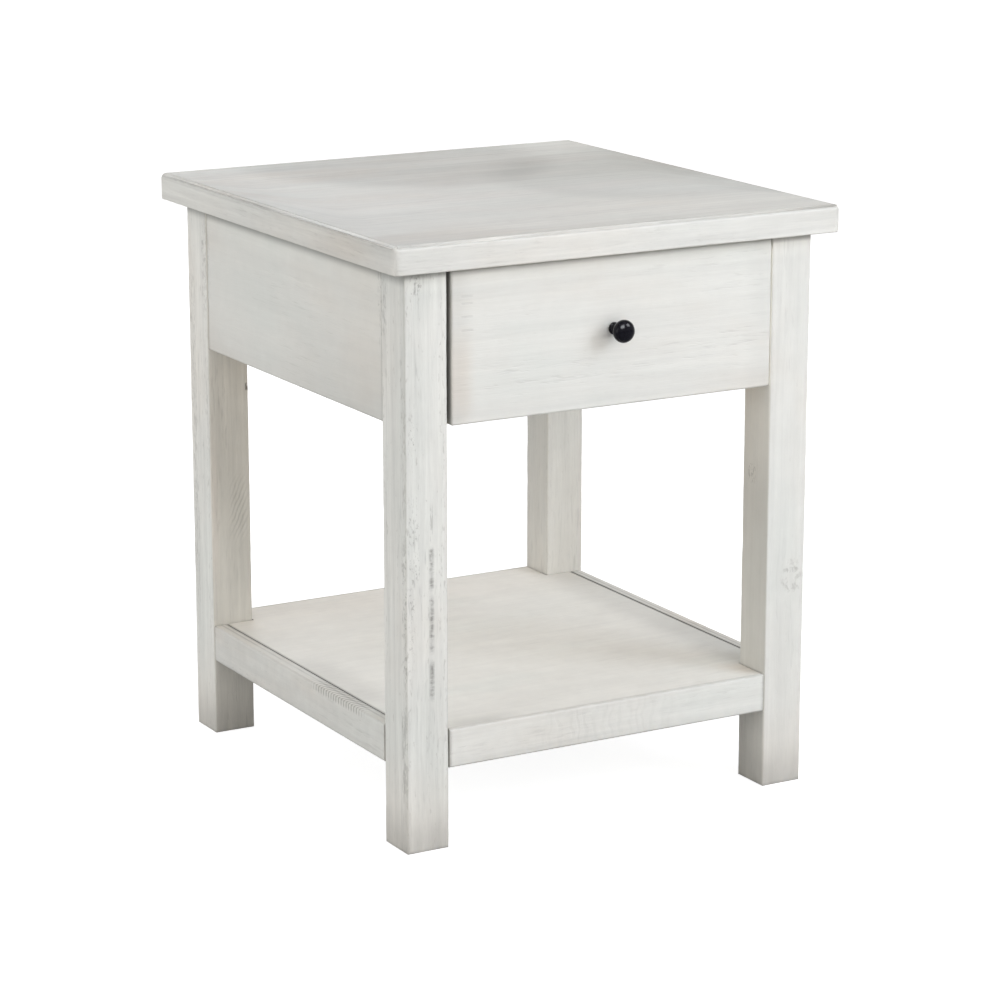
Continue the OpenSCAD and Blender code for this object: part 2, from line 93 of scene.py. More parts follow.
def add_softbox(name, azimuth, elevation, distance, width, height, brightness, colour, unseen_by):
    """Area light that faces the middle of the table, as bright at any size."""
    light = bpy.data.lights.new(name, "AREA")
    light.shape = "RECTANGLE"
    light.size, light.size_y = width, height
    light.energy = math.pi * width * height * brightness
    light.color = colour
    box = bpy.data.objects.new(name, light)
    towards = direction(azimuth, elevation)
    box.location = TABLE_MIDDLE + towards * distance
    box.rotation_euler = towards.to_track_quat("Z", "Y").to_euler()
    box.visible_glossy = unseen_by != "glossy"
    box.visible_diffuse = unseen_by != "diffuse"
    bpy.context.scene.collection.objects.link(box)


def add_studio():
    for softbox in SOFTBOXES:
        add_softbox(*softbox)
    world = bpy.data.worlds.new("white_room")
    world.use_nodes = True
    background = world.node_tree.nodes["Background"]
    background.inputs["Color"].default_value = ROOM_COLOUR
    background.inputs["Strength"].default_value = ROOM_LIGHT
    bpy.context.scene.world = world
    bpy.context.scene.view_settings.view_transform = "Standard"


def add_floor():
    """Floor that looks white but gives back less light than it shows, so that the feet stay shaded."""
    half = FLOOR_HALF
    corners = [(-half, -half, 0), (half, -half, 0), (half, half, 0), (-half, half, 0)]
    mesh = bpy.data.meshes.new("floor")
    mesh.from_pydata(corners, [], [(0, 1, 2, 3)])
    floor = bpy.data.objects.new("floor", mesh)
    tree = Tree("floor_paper")
    seen = tree.call("LightPath", "Is Camera Ray", {})
    tree.set(Base_Color=(FLOOR_TONE, FLOOR_TONE, FLOOR_TONE, 1), Roughness=1.0)
    tree.set(Emission_Color=(1, 1, 1, 1), Emission_Strength=tree.math("MULTIPLY", seen, FLOOR_GLOW))
    tree.shader.inputs["Specular IOR Level"].default_value = 0
    mesh.materials.append(tree.material)
    bpy.context.scene.collection.objects.link(floor)


# ---- Material nodes ----


class Tree:
    """A material's nodes, with one short call for each kind that the finishes use."""

    def __init__(self, name):
        self.material = bpy.data.materials.new(name)
        self.material.use_nodes = True
        self.nodes = self.material.node_tree.nodes
        self.shader = self.nodes["Principled BSDF"]
        place = self.nodes.new("ShaderNodeTexCoord")
        self.place = place.outputs["Object"]
        self.normal = place.outputs["Normal"]

    def feed(self, socket, value):
        """Links an output to the socket, or sets a plain value on it."""
        if isinstance(value, bpy.types.NodeSocket):
            self.material.node_tree.links.new(value, socket)
        else:
            socket.default_value = value

    def set(self, **values):
        """Feeds sockets of the shader, named with _ for each space."""
        for name, value in values.items():
            self.feed(self.shader.inputs[name.replace("_", " ")], value)

    def call(self, kind, output, settings, *values):
        """One output of a new node, after its settings are made and its inputs fed in order."""
        node = self.nodes.new("ShaderNode" + kind)
        for name, value in settings.items():
            setattr(node, name, value)
        for socket, value in zip(node.inputs, values):
            self.feed(socket, value)
        return node.outputs[output]

    def math(self, operation, *values):
        return self.call("Math", 0, {"operation": operation}, *values)

    def vector(self, operation, *values):
        return self.call("VectorMath", 0, {"operation": operation}, *values)

    def parts(self, vector):
        """The X, Y and Z outputs of a vector."""
        node = self.nodes.new("ShaderNodeSeparateXYZ")
        self.feed(node.inputs[0], vector)
        return list(node.outputs)

    def ramp(self, value, low, high, start=0.0, end=1.0):
        """Smooth step from start to end as the value goes from low to high."""
        settings = {"interpolation_type": "SMOOTHSTEP"}
        return self.call("MapRange", 0, settings, value, low, high, start, end)

    def noise(self, place, detail=2.0, roughness=0.5, distortion=0.0):
        node = self.nodes.new("ShaderNodeTexNoise")
        self.feed(node.inputs["Vector"], place)
        settings = {"Scale": 1.0, "Detail": detail, "Roughness": roughness, "Distortion": distortion}
        for name, value in settings.items():
            node.inputs[name].default_value = value
        return node.outputs[0]

    def stretch(self, place, scale, seed):
        """The place times scale, three numbers of features a metre, shifted by the seed."""
        shift = (seed * 3.1, seed * 5.7, seed * 7.3)
        return self.vector("MULTIPLY_ADD", place, scale, shift)

    def mix(self, factor, a, b):
        """Colour a where the factor is 0 and b where it is 1."""
        node = self.nodes.new("ShaderNodeMix")
        node.data_type = "RGBA"
        for i, value in ((0, factor), (6, a), (7, b)):
            self.feed(node.inputs[i], value)
        return node.outputs[2]

    def bump(self, height, distance):
        node = self.nodes.new("ShaderNodeBump")
        node.inputs["Strength"].default_value = 1.0
        node.inputs["Distance"].default_value = distance
        self.feed(node.inputs["Height"], height)
        self.set(Normal=node.outputs[0])


def along(axis, near, far):
    """Three scales: near on the grain's axis and far on the other two."""
    return tuple(near if i == axis else far for i in range(3))


# ---- Whitewashed pine ----

PAINT = (0.800, 0.798, 0.758, 1)
PAINT_WARM = (0.775, 0.735, 0.670, 1)
PAINT_COOL = (0.735, 0.770, 0.735, 1)
# Painted shade for the legs' inner faces.
PAINT_INNER_SHADE = (0.640, 0.622, 0.565, 1)
WORN = (0.400, 0.385, 0.350, 1)
CRACK = (0.130, 0.120, 0.105, 1)


class Paint(Tree):
    """Whitewashed pine for one board, its grain along an axis.

    A tone scales the paint's colour. Each streak, stain and mark changes the tone, colour or height.
    """

    def __init__(self, name, node, grain, seed, knot=None):
        super().__init__(name)
        self.lo, self.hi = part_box(node)
        self.grain, self.seed = grain, seed
        self.colour = PAINT
        self.tone = 1.0
        self.height = 0.0
        self.spot = self.place
        if knot:
            self.knot(*knot)
        self.turn_ends()
        self.stripe = self.pattern(6, 150, 1, 3.0, 0.55, 0.5)

    def turn_ends(self):
        """On a board's ends the grain runs across, so that they don't show drawn-out dots."""
        along_grain = self.parts(self.spot)
        across = Y if self.grain == X else X
        swapped = list(along_grain)
        swapped[self.grain], swapped[across] = along_grain[across], along_grain[self.grain]
        turned = self.call("CombineXYZ", 0, {}, *swapped)
        end = self.math("ABSOLUTE", self.parts(self.normal)[self.grain])
        self.spot = self.mix(self.ramp(end, 0.6, 0.8), self.spot, turned)

    def pattern(self, near, far, number, detail=2.0, roughness=0.5, distortion=0.0):
        """Noise with near features a metre along the grain and far ones across it."""
        place = self.stretch(self.spot, along(self.grain, near, far), self.seed + number)
        return self.noise(place, detail, roughness, distortion)

    def vary(self, pattern, amount):
        """Makes the paint lighter and darker with a pattern."""
        off = self.math("SUBTRACT", pattern, 0.5)
        self.tone = self.math("MULTIPLY", self.tone, self.math("MULTIPLY_ADD", off, amount, 1.0))

    def darken(self, mask, depth):
        """Takes a share of the tone away where the mask is 1; a depth below 0 lightens."""
        keep = self.math("SUBTRACT", 1.0, self.math("MULTIPLY", mask, depth))
        self.tone = self.math("MULTIPLY", self.tone, keep)

    def overlap(self, *masks):
        """1 only where every mask is 1."""
        made, *others = masks
        for mask in others:
            made = self.math("MULTIPLY", made, mask)
        return made

    def stain(self, mask, colour, strength=1.0):
        self.colour = self.mix(self.math("MULTIPLY", mask, strength), self.colour, colour)

    def sink(self, mask, depth):
        self.height = self.math("SUBTRACT", self.height, self.math("MULTIPLY", mask, depth))

    def facing(self, direction, start=0.55, end=0.85):
        """1 where the surface faces a direction, from the cosines of how far it may be turned away."""
        dot = self.vector("DOT_PRODUCT", self.normal, direction).node.outputs["Value"]
        return self.ramp(dot, start, end)

    def near(self, axis, place, start, end):
        """1 up to start from a plane, fading to 0 at end."""
        off = self.math("ABSOLUTE", self.math("SUBTRACT", self.parts(self.place)[axis], place))
        return self.ramp(off, start, end, 1.0, 0.0)

    def inside(self, middle, half, soft=0.45):
        """1 in the middle of a block, fading to 0 at its half size."""
        mask = 1.0
        for axis in (X, Y, Z):
            across = self.near(axis, middle[axis], (1 - soft) * half[axis], half[axis])
            mask = self.math("MULTIPLY", mask, across)
        return mask

    def arris(self, start, end):
        """1 along the board's edges, fading to 0 at end; worked out from the board's box."""
        middle, half = (self.lo + self.hi) / 2, (self.hi - self.lo) / 2
        from_middle = self.vector("ABSOLUTE", self.vector("SUBTRACT", self.place, tuple(middle)))
        dx, dy, dz = self.parts(self.vector("SUBTRACT", tuple(half), from_middle))
        nearer = self.math("MINIMUM", dx, dy)
        further = self.math("MAXIMUM", dx, dy)
        distance = self.math("MAXIMUM", nearer, self.math("MINIMUM", further, dz))
        return self.ramp(distance, start, end, 1.0, 0.0)

    def streaks(self, strength, mottle=0.10, warm=0.5):
        """Brushed bands, stripes and dashes along the grain, soft patches, and warm and cool clouds."""
        band = self.pattern(2.2, 26, 0, 2.0, 0.5, 0.4)
        dash = self.pattern(34, 330, 2, 2.0, 0.6, 0.3)
        fibre = self.pattern(70, 900, 3, 2.0, 0.6)
        zone = self.ramp(self.pattern(4, 24, 4), 0.40, 0.66)
        patch = self.noise(self.stretch(self.place, (48, 48, 40), self.seed + 11), 3.0, 0.6)
        self.vary(patch, mottle)
        self.vary(band, 0.22 * strength)
        self.vary(self.stripe, 0.34 * strength)
        dashes = self.overlap(self.ramp(dash, 0.54, 0.74), zone)
        self.darken(dashes, 0.16 * strength)
        self.vary(fibre, 0.10 * strength)
        cloud = self.pattern(5, 11, 5, 3.0)
        self.stain(self.ramp(cloud, 0.48, 0.72), PAINT_WARM, warm)
        self.stain(self.ramp(cloud, 0.52, 0.30), PAINT_COOL, 0.35)
        self.sink(self.stripe, 0.8)
        self.sink(fibre, 0.5)
        self.sink(dashes, 0.7)

    def flecks(self, strength, reach):
        """Dark pores in broken columns, most of them within reach of the edges."""
        pore = self.pattern(105, 400, 6, 2.0, 0.65, 0.4)
        column = self.ramp(self.pattern(5, 150, 7, 2.0), 0.48, 0.70)
        edge = self.arris(0.3 * reach, reach)
        crowd = self.math("MULTIPLY_ADD", column, 0.09, self.math("MULTIPLY", edge, 0.07))
        dark = self.ramp(self.math("ADD", pore, crowd), 0.64, 0.82)
        self.stain(dark, WORN, strength)
        self.sink(dark, 1.2 * strength)

    def worn_arris(self, strength):
        """Edges with the paint rubbed thin in places."""
        chips = self.pattern(45, 240, 8, 4.0, 0.7)
        edge = self.math("MULTIPLY", self.arris(0.6 * MM, 4.0 * MM), 0.72)
        rubbed = self.ramp(self.math("ADD", edge, self.math("MULTIPLY", chips, 0.6)), 0.66, 1.08)
        self.stain(rubbed, WORN, strength)

    def dirt_and_painted_shade(self, axis, place, start, end, depth, ragged=0.35, face=None):
        """Darkening that gathers at a plane and fades away from it, ragged, on one face or on all: dirt at
        some planes, painted shade at others such as under the top and in narrow gaps.
        """
        wobble = self.noise(self.stretch(self.place, (55, 55, 35), self.seed + 9), 3.0, 0.6)
        mask = self.near(axis, place, start, end)
        mask = self.overlap(mask, self.math("MULTIPLY_ADD", wobble, 2 * ragged, 1 - ragged))
        if face:
            mask = self.overlap(mask, self.facing(face))
        self.darken(mask, depth)

    def shade_under_top(self, start, end, depth, light_below, face):
        """Painted shade in the corner under the top, on one face, and painted light just below it."""
        self.dirt_and_painted_shade(Z, UNDER_TOP, start, end, depth, 0.12, face)
        below = self.near(Z, UNDER_TOP, end + 3 * MM, end + 18 * MM)
        self.darken(self.overlap(below, self.facing(face)), -light_below)

    def dashes(self, middle, half, pitch, width, strength, turned=0.0, crowd=0.50):
        """Cluster of short dark saw dashes, with a pitch along Z and a width across."""
        place = self.call("Mapping", 0, {}, self.place)
        place.node.inputs["Rotation"].default_value = (turned, turned, 0)
        scale = (1 / width, 1 / width, 1 / pitch)
        pattern = self.noise(self.stretch(place, scale, self.seed + 10), 3.0, 0.7, 0.15)
        dark = self.overlap(self.inside(middle, half), self.ramp(pattern, crowd, crowd + 0.10))
        self.stain(dark, CRACK, strength)
        self.sink(dark, strength)

    def ripples(self, middle, half, direction, pitch, wander, soft=0.45):
        """Even lines across a direction inside a block, as a saw or a planer leaves them."""
        wobble = self.noise(self.stretch(self.place, (45, 45, 45), self.seed + 12), 2.0)
        way = self.vector("DOT_PRODUCT", self.place, direction).node.outputs["Value"]
        way = self.math("MULTIPLY", way, 2 * math.pi / pitch)
        line = self.ramp(self.math("SINE", self.math("MULTIPLY_ADD", wobble, wander, way)), -0.2, 0.9)
        return self.overlap(line, self.inside(middle, half, soft))

    def ticks(self, middle, half, strength):
        """Column of short dark saw ticks one above the other, some of them fainter, on a soft line."""
        core = self.overlap(self.inside(middle, half, 0.3), self.near(X, middle[X], 0, half[X]))
        faint = self.noise(self.stretch(self.place, (420, 420, 150), self.seed + 13), 3.0, 0.6)
        core = self.overlap(core, self.ramp(faint, 0.34, 0.60, 0.6, 1.0))
        tick = self.noise(self.stretch(self.place, (90, 90, 270), self.seed + 14), 3.0, 0.6)
        dark = self.overlap(self.ramp(tick, 0.42, 0.60), core)
        self.darken(core, 0.24)
        self.stain(dark, CRACK, strength)
        self.sink(dark, strength)

    def knot(self, middle, radius, strength):
        """Bends the grain round a knot and draws its soft broken ring."""
        away = self.vector("SUBTRACT", self.place, tuple(middle))
        r = self.vector("LENGTH", self.vector("MULTIPLY", away, (1 / radius, 1 / radius, 0.7 / radius)))
        r = r.node.outputs["Value"]
        pull = self.math("MULTIPLY", self.math("POWER", r, 2.0), -0.3)
        pull = self.math("MULTIPLY", self.math("EXPONENT", pull), -0.6)
        shift = self.vector("SCALE", away)
        self.feed(shift.node.inputs["Scale"], pull)
        self.spot = self.vector("ADD", self.place, shift)
        wobble = self.noise(self.stretch(self.place, (330, 330, 230), self.seed), 3.0, 0.7)
        ring = self.math("ADD", r, self.math("MULTIPLY", self.math("SUBTRACT", wobble, 0.5), 1.5))
        ring = self.overlap(self.ramp(ring, 0.35, 0.95), self.ramp(ring, 0.95, 1.6, 1.0, 0.0))
        patchy = self.noise(self.stretch(self.place, (160, 160, 160), self.seed + 1), 2.0)
        ring = self.overlap(ring, self.ramp(patchy, 0.44, 0.58))
        self.stain(ring, WORN, strength)
        self.sink(ring, 1.0)

    def finish(self):
        colour = self.vector("SCALE", self.colour)
        self.feed(colour.node.inputs["Scale"], self.tone)
        self.set(Base_Color=colour, IOR=1.42, Roughness=self.ramp(self.stripe, 0.25, 0.75, 0.46, 0.66))
        self.bump(self.height, 0.25 * MM)
        return self.material


# ---- Bare wood, metal and rubber ----


def bare_wood(name, light, dark, grain, seed, ring_count=26):
    """Sanded wood with growth rings along an axis."""
    tree = Tree(name)
    rings = tree.noise(tree.stretch(tree.place, along(grain, 1.3, 14), seed), 2.0, 0.5, 0.3)
    late = tree.ramp(tree.math("FRACT", tree.math("MULTIPLY", rings, ring_count)), 0.35, 0.97)
    pores = tree.noise(tree.stretch(tree.place, along(grain, 35, 900), seed + 1), 3.0, 0.6)
    blotch = tree.noise(tree.stretch(tree.place, along(grain, 8, 20), seed + 2), 3.0)
    colour = tree.mix(tree.math("MULTIPLY", late, 0.6), light, dark)
    colour = tree.mix(tree.ramp(pores, 0.5, 0.8, 0.0, 0.35), colour, dark)
    colour = tree.mix(tree.ramp(blotch, 0.35, 0.75, 0.0, 0.3), colour, dark)
    tree.set(Base_Color=colour, IOR=1.4)
    tree.set(Roughness=tree.ramp(pores, 0.3, 0.8, 0.55, 0.75))
    tree.bump(tree.math("ADD", pores, tree.math("MULTIPLY", late, 0.6)), 0.15 * MM)
    return tree.material


PLY = 2.0 * MM


def plywood(name, seed):
    """Rotary-cut birch faces, and plies that show at the edges."""
    tree = Tree(name)
    light, dark = (0.68, 0.55, 0.38, 1), (0.50, 0.36, 0.21, 1)
    rings = tree.noise(tree.stretch(tree.place, (2.5, 7, 7), seed), 2.0, 0.5, 1.2)
    late = tree.ramp(tree.math("FRACT", tree.math("MULTIPLY", rings, 9.0)), 0.5, 0.95)
    pores = tree.noise(tree.stretch(tree.place, (40, 700, 700), seed + 1), 3.0, 0.6)
    height = tree.parts(tree.place)[Z]
    plies = tree.math("SINE", tree.math("MULTIPLY", height, 2 * math.pi / PLY))
    upright = tree.math("ABSOLUTE", tree.parts(tree.normal)[Z])
    edge = tree.math("MULTIPLY", tree.ramp(plies, -0.2, 0.2), tree.ramp(upright, 0.4, 0.6, 1.0, 0.0))
    colour = tree.mix(tree.math("MULTIPLY", late, 0.4), light, dark)
    colour = tree.mix(tree.ramp(pores, 0.52, 0.78, 0.0, 0.4), colour, dark)
    colour = tree.mix(tree.math("MULTIPLY", edge, 0.7), colour, dark)
    tree.set(Base_Color=colour, IOR=1.4)
    tree.set(Roughness=tree.ramp(pores, 0.3, 0.8, 0.5, 0.68))
    tree.bump(pores, 0.1 * MM)
    return tree.material


def metal(name, colour, dull, rough, scratch, seed):
    """Bare or plated metal with fine rolled scratches along Y and a mottled surface."""
    tree = Tree(name)
    mottle = tree.noise(tree.stretch(tree.place, (90, 90, 90), seed), 4.0, 0.6)
    lines = tree.noise(tree.stretch(tree.place, (1500, 40, 1500), seed + 1), 3.0, 0.6)
    shade = tree.math("ADD", tree.math("MULTIPLY", mottle, 0.6), tree.math("MULTIPLY", lines, 0.4))
    tree.set(Base_Color=tree.mix(tree.ramp(shade, 0.35, 0.7), colour, dull))
    tree.set(Metallic=1.0, Roughness=tree.ramp(shade, 0.3, 0.7, rough, rough + 0.18))
    tree.bump(lines, scratch)
    return tree.material


def satin_black():
    """Black lacquer on the knob, slightly uneven, and duller where fingers hold it."""
    tree = Tree("knob_satin_black")
    peel = tree.noise(tree.stretch(tree.place, (700, 700, 700), 1.0), 2.0)
    smudge = tree.noise(tree.stretch(tree.place, (160, 160, 160), 2.0), 4.0, 0.6)
    colour = tree.mix(tree.ramp(smudge, 0.4, 0.75), (0.003, 0.003, 0.007, 1), (0.007, 0.007, 0.012, 1))
    tree.set(Base_Color=colour, IOR=1.27)
    tree.set(Roughness=tree.ramp(smudge, 0.3, 0.75, 0.15, 0.24))
    tree.bump(peel, 0.05 * MM)
    return tree.material


def rubber():
    tree = Tree("bumper_rubber")
    grit = tree.noise(tree.stretch(tree.place, (1200, 1200, 1200), 3.0), 3.0)
    tree.set(Base_Color=tree.mix(grit, (0.02, 0.02, 0.02, 1), (0.045, 0.045, 0.045, 1)))
    tree.set(Roughness=tree.ramp(grit, 0.3, 0.7, 0.65, 0.85))
    tree.bump(grit, 0.1 * MM)
    return tree.material


# ---- Meshes ----

BRUSH_DEPTH = 0.10 * MM
HOLLOW_DEPTH = 0.18 * MM
CHIP_DEPTH = 0.5 * MM
CHIP_REACH = 6 * MM
STEP_ALONG = 6.5 * MM
TOUCHING = 1e-7
HASH = np.array([73856093, 19349663, 83492791])
HASH_SEED, HASH_MIX = 912931, 1274126177


def value_noise(points, cell, seed):
    """Smooth noise from 0 to 1 at points, with features of about the cell's three sizes."""
    place = points / np.array(cell) + 37.7 * seed
    corner = np.floor(place).astype(np.int64)
    part = place - corner
    part = part * part * (3 - 2 * part)
    total = np.zeros(len(points))
    for step in product((0, 1), repeat=3):
        key = (corner + step) @ HASH + HASH_SEED * seed
        key = (key ^ (key >> 13)) * HASH_MIX & 0xFFFFFFFF
        value = ((key ^ (key >> 16)) & 0xFFFF) / 0xFFFF
        total += value * np.prod(np.where(step, part, 1 - part), axis=1)
    return total


def stations(lo, hi, step, edge):
    """Places from lo to hi about a step apart, with closer ones on the rounded ends."""
    ends = edge * np.array([0, 0.12, 0.25, 0.4, 0.55, 0.77, 1.0])
    inner_lo, inner_hi = lo + 1.4 * edge, hi - 1.4 * edge
    middle = np.linspace(inner_lo, inner_hi, max(1, round((inner_hi - inner_lo) / step)) + 1)
    return np.concatenate([lo + ends, middle, (hi - ends)[::-1]])


def lattice(xs, ys, zs):
    """Points and outward quads on the surface of a block of grid cells."""
    shape = (len(xs), len(ys), len(zs))
    on_surface = np.zeros(shape, bool)
    for axis in (X, Y, Z):
        faces = np.moveaxis(on_surface, axis, 0)
        faces[0] = faces[-1] = True
    number = np.full(shape, -1)
    number[on_surface] = np.arange(on_surface.sum())
    i, j, k = np.nonzero(on_surface)
    points = np.stack([xs[i], ys[j], zs[k]], axis=1)
    quads = []
    for axis, side in product((X, Y, Z), (0, -1)):
        n = number.take(side, axis=axis)
        ring = [n[:-1, :-1], n[1:, :-1], n[1:, 1:], n[:-1, 1:]]
        if (axis == Y) == (side == -1):
            ring.reverse()
        quads.append(np.stack([c.ravel() for c in ring], axis=1))
    return points, np.concatenate(quads)


def quarter(depth, radius):
    """How far in a point at this depth moves as an edge is rounded, and how high it then stands."""
    outward = np.clip(1 - depth / radius, 0, 1)
    length = np.hypot(outward, 1)
    return radius - radius * outward / length, radius / length


def round_block(points, lo, hi, plan, low, high):
    """Rounds a block's upright edges by plan, its lower edges by low and its upper ones by high."""
    middle, half = (lo[:2] + hi[:2]) / 2, (hi[:2] - lo[:2]) / 2
    side = np.sign(points[:, :2] - middle)
    depth = half - np.abs(points[:, :2] - middle)
    z = points[:, 2].copy()
    for from_end, radius, sign, end in ((hi[2] - z, high, 1, hi[2]), (z - lo[2], low, -1, lo[2])):
        flat = from_end < TOUCHING
        moved, _ = quarter(depth, radius)
        nearest = depth.min(axis=1)
        _, flat_rise = quarter(nearest, radius)
        wall = (from_end >= TOUCHING) & (from_end < radius)
        upward = np.clip(1 - from_end / radius, 0, 1)
        length = np.hypot(upward, 1)
        start = (radius - radius / length)[:, None]
        wall_depth = np.where(depth < radius, start + depth * (1 - start / radius), depth)
        depth = np.where(flat[:, None], moved, np.where(wall[:, None], wall_depth, depth))
        z = np.where(flat, end - sign * (radius - flat_rise), z)
        z = np.where(wall, end - sign * (radius - radius * upward / length), z)
    nearest = depth.min(axis=1, keepdims=True)
    radius = np.maximum(plan - nearest, 0)
    outward = np.clip(1 - (depth - nearest) / np.maximum(radius, 1e-9), 0, 1)
    length = np.maximum(np.linalg.norm(outward, axis=1, keepdims=True), 1)
    rounded = nearest + radius * (1 - outward / length)
    depth = np.where((outward > 0) & (radius > 0), rounded, depth)
    plane = middle + side * (half - depth)
    return np.column_stack([plane, z])


def vertex_normals(points, quads):
    diagonals = points[quads[:, 2]] - points[quads[:, 0]], points[quads[:, 3]] - points[quads[:, 1]]
    face = np.cross(*diagonals)
    normals = np.zeros_like(points)
    for corner in range(4):
        np.add.at(normals, quads[:, corner], face)
    return normals / np.maximum(np.linalg.norm(normals, axis=1, keepdims=True), 1e-12)


def edge_depth(points, lo, hi):
    """Distance of each point from the nearest edge of the box."""
    return np.sort(np.minimum(points - lo, hi - points), axis=1)[:, 1]


def weathered(points, quads, lo, hi, grain, seed):
    """Points sunk below the planed surface by hollows, grooves and rubbed edges, never proud of it."""
    hollow = HOLLOW_DEPTH * value_noise(points, along(grain, 240 * MM, 55 * MM), seed)
    groove = BRUSH_DEPTH * value_noise(points, along(grain, 90 * MM, 5 * MM), seed + 1)
    groove += 0.5 * BRUSH_DEPTH * value_noise(points, along(grain, 40 * MM, 2.6 * MM), seed + 2)
    near_edge = np.clip(1 - edge_depth(points, lo, hi) / CHIP_REACH, 0, 1) ** 2
    nibble = value_noise(points, (22 * MM,) * 3, seed + 3) * value_noise(points, (7 * MM,) * 3, seed + 4)
    sunk = hollow + groove + CHIP_DEPTH * near_edge * nibble * 2
    return points - vertex_normals(points, quads) * sunk[:, None]


def add_mesh(name, points, faces, material, body):
    mesh = bpy.data.meshes.new(name)
    mesh.from_pydata(points.tolist(), [], faces)
    mesh.shade_smooth()
    mesh.materials.append(material)
    piece = bpy.data.objects.new(name, mesh)
    bpy.context.scene.collection.objects.link(piece)
    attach(piece, body)
    return piece


def painted_board(node, grain, seed, plan, low, high, across, look, body="frame", knot=None):
    """Board that stands for a CAD node of the same size, with a weathered surface.

    Its upright, lower and upper edges are rounded by plan, low and high, and across is its mesh's step
    across the grain.
    """
    lo, hi = (np.array(c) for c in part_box(node))
    steps = along(grain, STEP_ALONG, across)
    edges = (max(plan, low, high), max(plan, low, high), max(low, high))
    points, quads = lattice(*(stations(lo[i], hi[i], steps[i], edges[i]) for i in (X, Y, Z)))
    points = round_block(points, lo, hi, plan, low, high)
    points = weathered(points, quads, lo, hi, grain, seed)
    material = painted(node, grain, seed, look, knot)
    piece = add_mesh(node + "_painted", points, quads.tolist(), material, body)
    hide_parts(node)


def painted(node, grain, seed, look, knot=None):
    paint = Paint(node + "_paint", node, grain, seed, knot)
    look(paint)
    return paint.finish()


# ---- The table ----

UNDER_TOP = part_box("top_panel")[0].z
SHELF_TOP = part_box("shelf_panel")[1].z
DRAWER_BOTTOM = 424 * MM
DASH_DEPTH = 1.5 * MM
LEFT, RIGHT, FRONT, REAR, UP = (-1, 0, 0), (1, 0, 0), (0, -1, 0), (0, 1, 0), (0, 0, 1)


def add_top():
    painted_board("top_panel", X, 11, 10 * MM, 2 * MM, 5.5 * MM, 2.4 * MM, top_look)


def top_look(paint):
    """Brushed top, greyer behind its middle, with a soft dark line round its sides, painted light in front
    and along its lower edges, and painted shade on its upper arrises, its left part and its front and left
    faces.
    """
    paint.streaks(0.85, 0.07)
    paint.flecks(0.15, 4 * MM)
    paint.worn_arris(0.2)
    x, y, _ = paint.parts(paint.place)
    # Painted shade: the left part of the top a little darker.
    paint.darken(paint.ramp(x, -40 * MM, paint.lo.x), 0.03)
    up, left, front = (paint.facing(face) for face in (UP, LEFT, FRONT))
    middle = paint.near(X, 50 * MM, 20 * MM, 260 * MM)
    paint.darken(paint.overlap(middle, paint.near(Y, 140 * MM, 130 * MM, 260 * MM), up), 0.105)
    # Painted light on the strip along the front, most at the left.
    lit_front_strip = paint.near(Y, paint.lo.y, 50 * MM, 150 * MM)
    paint.darken(paint.overlap(lit_front_strip, paint.ramp(x, 150 * MM, -200 * MM, 0.15, 1.0), up), -0.14)
    # Painted light close to the front edge.
    lit_front_edge = paint.near(Y, paint.lo.y, 15 * MM, 70 * MM)
    paint.darken(paint.overlap(lit_front_edge, paint.ramp(x, 200 * MM, -220 * MM, 0.35, 1.0), up), -0.09)
    # Painted light along the lower edge of the front and left faces.
    lit_low_edge = paint.near(Z, paint.lo.z, 2 * MM, 5 * MM)
    paint.darken(paint.overlap(lit_low_edge, front), -0.09)
    paint.darken(paint.overlap(lit_low_edge, left), -0.06)
    # Painted shade on the rounded upper arrises of the front and left.
    for side, depth in ((FRONT, 0.17), (LEFT, 0.12)):
        rounded = (Vector(side) + 1.5 * Vector(UP)).normalized()
        paint.darken(paint.facing(rounded, 0.84, 0.93), depth)
    # Painted shade: the left face darker towards the front, the front face darker towards the right.
    paint.darken(paint.overlap(left, paint.ramp(y, 60 * MM, -240 * MM, 0.4, 1.0)), 0.085)
    paint.darken(paint.overlap(front, paint.ramp(x, -120 * MM, 100 * MM, 0.35, 1.0)), 0.08)
    # Painted shade along all the edges.
    paint.darken(paint.arris(1 * MM, 5 * MM), 0.03)
    ragged = paint.noise(paint.stretch(paint.place, (22, 22, 22), paint.seed), 3.0, 0.6)
    wavy = paint.math("MULTIPLY_ADD", ragged, 6 * MM, paint.hi.z - 5.2 * MM)
    line = paint.near(Z, wavy, 0.5 * MM, 5.5 * MM)
    line = paint.overlap(line, paint.ramp(ragged, 0.30, 0.60, 0.5, 1.0))
    for side, depth in ((LEFT, 0.22), (RIGHT, 0.2), (REAR, 0.12), (FRONT, 0.02)):
        paint.darken(paint.overlap(line, paint.facing(side)), depth)
    front_end = (paint.lo.x, paint.lo.y + 90 * MM, paint.hi.z - 15 * MM)
    paint.stain(paint.inside(front_end, (5 * MM, 75 * MM, 20 * MM), 0.9), PAINT_WARM, 0.7)


def add_legs():
    looks = {
        "leg_front_left": front_left_look,
        "leg_front_right": front_right_look,
        "leg_rear_left": rear_left_look,
        "leg_rear_right": rear_right_look,
    }
    for number, (node, look) in enumerate(looks.items()):
        lo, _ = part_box(node)
        knot = None
        if node == "leg_front_right":
            knot = (Vector((lo.x + 31 * MM, lo.y, 223 * MM)), 9 * MM, 0.4)
        painted_board(node, Z, 21 + 8 * number, 2 * MM, 0.8 * MM, 0.4 * MM, 1.6 * MM, look, knot=knot)


